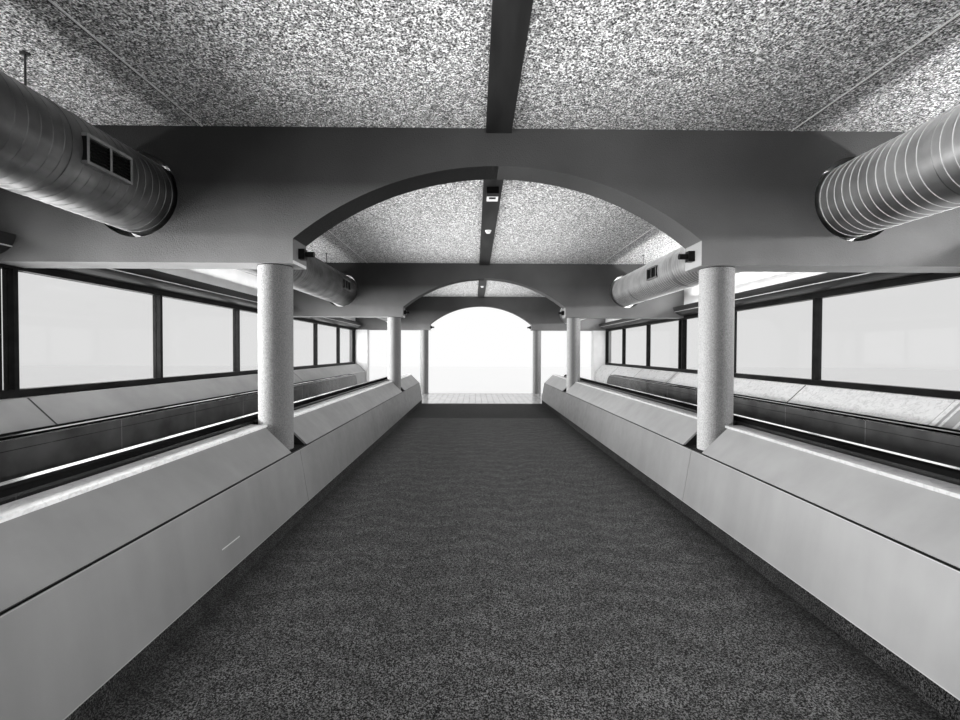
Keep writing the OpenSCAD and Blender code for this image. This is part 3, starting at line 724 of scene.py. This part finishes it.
def in_cove(side, outline):
    return [(side * (wall_x - out), lip_z - down) for out, down in outline]


cove_low, cove_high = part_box("light_coves")
lip_z = cove_high.z
tube_glow = new_finish("tube_glow", 0.8, 0.3)
shader_of(tube_glow).inputs["Emission Color"].default_value = (1, 1, 1, 1)
shader_of(tube_glow).inputs["Emission Strength"].default_value = 1.0
paint(tube_glow, greys(tube_glow, cloud(tube_glow, 4, 2), 0.78, 0.84))
print("cove sections ready")

# %% Battens and their tubes
batten_l, batten_gap, batten_start = 1.5, 0.05, 0.1
clip_w, clip_in = 0.03, 0.02
tube_r, tube_out, tube_down, tube_in = 0.013, 0.1, 0.065, 0.05
tray = ((0.0, 0.05), (0.03, 0.05), (0.06, 0.08), (0.06, 0.11), (0.0, 0.11))
clip = ((0.05, 0.045), (0.125, 0.045), (0.125, 0.085), (0.05, 0.085))
battens, tubes = bmesh.new(), bmesh.new()
for k in range(4):
    for side in (-1, 1):
        for j in range(4):
            y0 = beam_y[k] + beam_t / 2 + batten_start + j * (batten_l + batten_gap)
            bar_along_y(battens, in_cove(side, tray), y0, y0 + batten_l)
            for clip_y in (y0 + clip_in, y0 + batten_l - clip_in - clip_w):
                bar_along_y(battens, in_cove(side, clip), clip_y, clip_y + clip_w)
            bar_along_y(tubes, round_section(side * (wall_x - tube_out), lip_z - tube_down, tube_r, 10),
                        y0 + tube_in, y0 + batten_l - tube_in)
finished_piece("cove_battens", battens, white_plastic)
finished_piece("cove_tubes", tubes, tube_glow)

# %% Bead along each cove
cove_w, cove_rise = 0.26, lip_z - cove_low.z
bead_r = 0.007
slip = math.radians(33)
beads = bmesh.new()
for k in range(4):
    for side in (-1, 1):
        bar_along_y(beads, round_section(side * (wall_x - cove_w * math.cos(slip)),
                                         lip_z - cove_rise * math.sin(slip), bead_r, 8),
                    beam_y[k] + beam_t / 2, beam_y[k + 1] - beam_t / 2)
finished_piece("cove_beads", beads, white_plastic)

# %% [markdown]
# ## Small joints that the eye expects
# A column meets its beam in a thin shadow line, painted as a dark disc just wider than the column.

# %% Painted shade ring at the top of each column
ring_rise, ring_t, ring_down = 0.0015, 0.008, 0.005
shade_rings = bmesh.new()
for y in [columns_low.y + column_r] + beam_y[1:-1] + [columns_high.y - column_r]:
    for side in (-1, 1):
        hoop = bmesh.ops.create_cone(shade_rings, cap_ends=True, segments=48, radius1=column_r + ring_rise,
                                     radius2=column_r + ring_rise, depth=ring_t)
        bmesh.ops.translate(shade_rings, verts=hoop["verts"], vec=(side * column_x, y, soffit_z - ring_down))
finished_piece("column_shade_rings", shade_rings, dark_trim)

# %% [markdown]
# Each box lamp in the ceiling's strip has a white diffuser under it with a dark slot. At the landings, a
# comb plate reaches into the pallets' grooves with a row of flat teeth.

# %% Diffusers under the box lamps of the ceiling strip
lamp_l = 0.3
diffuser_size, diffuser_down, diffuser_past = (0.145, 0.18, 0.006), 0.003, 0.055
slot_size, slot_down, slot_past = (0.085, 0.07, 0.002), 0.0069, 0.02
lamp_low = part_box("strip_lamps")[0]
diffusers, slots = bmesh.new(), bmesh.new()
for k in range(4):
    y = lamp_low.y + lamp_l / 2 + k * bay
    block(diffusers, diffuser_size, (0, y + diffuser_past, lamp_low.z - diffuser_down))
    block(slots, slot_size, (0, y + slot_past, lamp_low.z - slot_down))
finished_piece("lamp_diffusers", diffusers, white_plastic)
finished_piece("lamp_slots", slots, black_plastic)

# %% Teeth of the comb plates
comb_y, comb_in = 8.4, 0.022
tooth_pitch, tooth_size, tooth_down = 0.012, (0.004, 0.05, 0.006), 0.003
first_tooth, tooth_room = 0.016, 0.02
combs = bmesh.new()
for side in (-1, 1):
    for end in (-1, 1):
        for k in range(int((lane_high.x - lane_low.x - tooth_room) / tooth_pitch)):
            block(combs, tooth_size, (side * (lane_low.x + first_tooth + k * tooth_pitch),
                                      end * (comb_y - comb_in), floor_z - tooth_down))
finished_piece("comb_teeth", combs, pallet_metal)

# %% [markdown]
# The casings come in lengths. Gaskets show as dark lines where they meet, by the inner beams on the left
# and at each third of a bay on the right. At each inner beam on the right, a grey strap with four pale
# bars lies over the casing. All of them follow the casing's own section and stand a little proud of it.

# %% Gaskets in the casing's joints, and the straps on the right
casing_low, casing_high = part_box("sill_casing_right")
nose_z, back_x = floor_z + 0.86, wall_x - 0.1
turned_down, shell, sunk = 0.05, 0.01, 0.001


def casing_section(rise):
    foot_x, top_z = casing_low.x, casing_high.z
    return [(foot_x - rise, nose_z - turned_down), (foot_x - rise, nose_z + rise / 2),
            (back_x - rise / 2, top_z + rise), (wall_x - sunk, top_z + rise),
            (wall_x - sunk, top_z - shell), (back_x, top_z - shell),
            (foot_x + shell, nose_z - shell / 2), (foot_x + shell, nose_z - turned_down)]


def casing_bar(shape, side, y, width, rise):
    bar_along_y(shape, [(side * x, z) for x, z in casing_section(rise)], y - width / 2, y + width / 2)


gasket_rise, gasket_past = 0.0008, 0.085
strap_back, plate_w, plate_rise = 0.1, 0.3, 0.0015
bar_w, bar_rise = 0.03, 0.004
gaskets, strap_bars, strap_plates = bmesh.new(), bmesh.new(), bmesh.new()
for k in range(4):
    if k > 0:
        casing_bar(gaskets, -1, beam_y[k] + gasket_past, 0.02, gasket_rise)
        for aside in (-0.135, -0.07, 0.07, 0.135):
            casing_bar(strap_bars, 1, beam_y[k] - strap_back + aside, bar_w, bar_rise)
        casing_bar(strap_plates, 1, beam_y[k] - strap_back, plate_w, plate_rise)
    for third in (1, 2):
        casing_bar(gaskets, 1, beam_y[k] + third * bay / 3, 0.022, gasket_rise)
finished_piece("casing_gaskets", gaskets, dark_trim)
finished_piece("casing_strap_bars", strap_bars, casing_stone)
finished_piece("casing_strap_plates", strap_plates, casing_metal)

# %% [markdown]
# Outside, a folded metal sill slopes down from the window frames to the face of the wall and sheds the
# rain.

# %% Sills outside the windows
under_sill, sill_at_frame, sill_at_wall = 0.041, 0.062, 0.046
end_gap = 0.03
frame_low, frame_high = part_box("window_frames_right")
drip_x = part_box("window_wall_right")[1].x - 0.002
sills = bmesh.new()
for side in (-1, 1):
    bar_along_y(sills, [(side * x, frame_low.z + up) for x, up in
                        ((frame_high.x, under_sill), (frame_high.x, sill_at_frame),
                         (drip_x, sill_at_wall), (drip_x, under_sill))],
                frame_low.y + end_gap, frame_high.y - end_gap)
finished_piece("outer_sills", sills, frame_metal)

# %% [markdown]
# ## Floor and world
# The link stands on a plain pale floor. The floor adds a little white of its own, but only where the
# camera looks, so that it is bright and still shows the soft shadow. The world is white where the
# camera, glass or metal looks at it, and softer where it lights things. The helpers for finishes work on
# the world as well. Neither the floor nor the tubes are sampled as lamps, which saves time.

# %% Floor
floor_half, floor_lift = 60.0, 0.36

ground = bmesh.new()
bmesh.ops.create_grid(ground, x_segments=4, y_segments=4, size=floor_half)
ground_mesh = bpy.data.meshes.new("studio_floor")
ground.to_mesh(ground_mesh)
ground.free()
studio_floor = bpy.data.objects.new("studio_floor", ground_mesh)
bpy.context.collection.objects.link(studio_floor)

pale = new_finish("studio_floor", 0.8, 0.9)
paint(pale, greys(pale, cloud(pale, 0.6, 2), 0.78, 0.82))
looked_at = add(pale, "LightPath").outputs["Is Camera Ray"]
shader_of(pale).inputs["Emission Color"].default_value = (1, 1, 1, 1)
join(pale, reckon(pale, "MULTIPLY", looked_at, floor_lift), shader_of(pale).inputs["Emission Strength"])
studio_floor.data.materials.append(pale)
for glowing in (pale, tube_glow):
    glowing.cycles.emission_sampling = "NONE"
print("floor made")

# %% World
lighting, looking = 0.7, 1.0

world = bpy.data.worlds.new("world")
bpy.context.scene.world = world
world.use_nodes = True
sky = world.node_tree.nodes["Background"]
sky.inputs["Color"].default_value = (1, 1, 1, 1)
path = add(world, "LightPath")
seen = reckon(world, "MAXIMUM", path.outputs["Is Camera Ray"], path.outputs["Is Glossy Ray"])
seen = reckon(world, "MAXIMUM", seen, path.outputs["Is Transmission Ray"])
strength = add(world, "MapRange", {"To Min": lighting, "To Max": looking})
join(world, seen, strength.inputs["Value"])
join(world, strength.outputs["Result"], sky.inputs["Strength"])
print("world made")

# %% [markdown]
# ## Lamps
# Large soft lamps stand in for the daylight at the windows and for the tubes in the coves. The left side
# gets more daylight, as in the photo. A weaker lamp at each window is the only one that shows as a glint
# in gloss and metal. One lamp in each bay washes the ceiling from below, and one fills the walk from
# above. The daylight and the fill fade in the last bay.

# %% Soft lamps
def soft_lamp(name, centre, towards, size, watts, mirrored=False, spread=180):
    data = bpy.data.lights.new(name, "AREA")
    data.shape = "RECTANGLE"
    data.size, data.size_y = size
    data.energy = watts
    data.spread = math.radians(spread)
    lamp = bpy.data.objects.new(name, data)
    lamp.location = centre
    lamp.rotation_euler = (Vector(towards) - Vector(centre)).to_track_quat("-Z", "Y").to_euler()
    lamp.visible_camera = False
    lamp.visible_glossy = mirrored
    bpy.context.collection.objects.link(lamp)


window_size, cove_size, wash_size, fill_size = (6.0, 1.2), (5.4, 0.12), (3.2, 5.6), (3.0, 5.6)
window_z, aim_z, tube_z = floor_z + 1.8, floor_z + 1.3, floor_z + 2.75
day_x, glint_x, cove_x, aim_x = wall_x + 0.17, wall_x + 0.18, wall_x - 0.12, wall_x - 1.2
wash_z, fill_z = soffit_z + 0.3, soffit_z - 0.05
wash_watts, fill_watts = 90, 18
for k, share in enumerate((1.0, 1.0, 1.0, 0.6)):
    y = (beam_y[k] + beam_y[k + 1]) / 2
    for side, day_watts, glint_watts, cove_watts in ((-1, 350, 60, 80), (1, 60, 30, 180)):
        soft_lamp(f"daylight_{k}_{side}", (side * day_x, y, window_z), (0, y, aim_z),
                  window_size, day_watts * share, spread=120)
        soft_lamp(f"glint_{k}_{side}", (side * glint_x, y, window_z), (0, y, window_z),
                  window_size, glint_watts, mirrored=True)
        soft_lamp(f"cove_light_{k}_{side}", (side * cove_x, y, tube_z),
                  (side * aim_x, y, ceiling_z), cove_size, cove_watts)
    soft_lamp(f"ceiling_wash_{k}", (0, y, wash_z), (0, y, ceiling_z), wash_size, wash_watts)
    soft_lamp(f"fill_{k}", (0, y, fill_z), (0, y, floor_z), fill_size, fill_watts * share)
bpy.context.scene.view_settings.view_transform = "Standard"
print("lamps made")
